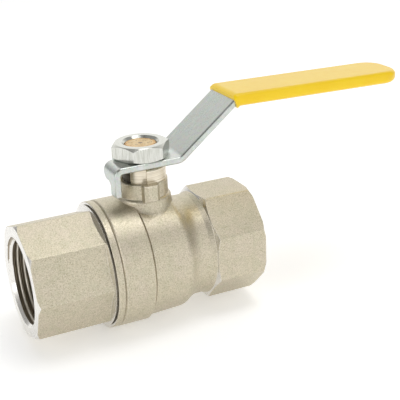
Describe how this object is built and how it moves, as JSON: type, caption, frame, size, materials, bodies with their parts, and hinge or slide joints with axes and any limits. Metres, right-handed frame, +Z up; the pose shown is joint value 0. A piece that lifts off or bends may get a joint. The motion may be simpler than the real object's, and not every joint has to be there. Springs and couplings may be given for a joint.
{
  "type": "ball valve",
  "caption": "Straight two-way ball valve with octagonal internally threaded ends, a quarter-turn cranked flat lever and a sleeved grip.",
  "frame": {"origin": "centre of the ball, where the pipe axis meets the stem axis", "axes": "+X along the pipe towards the end cast with the body, which the open lever points to; +Z up the stem; +Y across the pipe"},
  "size_m": [0.1588, 0.0482, 0.0833],
  "materials": {
    "nickel_body": "forged brass, shot-blasted and nickel plated, satin, with turned rims",
    "ptfe": "white moulded PTFE, waxy",
    "chromed_ball": "brass, turned, chrome plated and polished",
    "brass_stem": "turned brass",
    "seal_rubber": "black nitrile rubber",
    "zinc_steel": "pressed steel strip, zinc plated, satin with rolled grain",
    "yellow_vinyl": "dip-moulded yellow vinyl, glossy",
    "plated_nut": "steel, bright zinc plated"
  },
  "bodies": {
    "housing": {"body": "nickel_body", "end_connector": "nickel_body", "body_seal": "ptfe", "seat_ring_a": "ptfe", "seat_ring_b": "ptfe"},
    "operator": {"stem": "brass_stem", "thrust_washer": "ptfe", "stem_o_ring_lower": "seal_rubber", "stem_o_ring_upper": "seal_rubber", "lever_handle": "zinc_steel", "grip_sleeve": "yellow_vinyl", "handle_nut": "plated_nut"},
    "ball": {"ball": "chromed_ball"}
  },
  "joints": [
    {"name": "lever_turn", "type": "hinge", "parent": "housing", "child": "operator", "pos_m": [0, 0, 0], "axis": [0, 0, 1], "range_deg": [-90, 0]},
    {"name": "ball_turn", "type": "hinge", "parent": "housing", "child": "ball", "pos_m": [0, 0, 0], "axis": [0, 0, 1], "range_deg": [-90, 0]}
  ],
  "couplings": [
    {"joint": "ball_turn", "follows": "lever_turn", "ratio": 1}
  ]
}
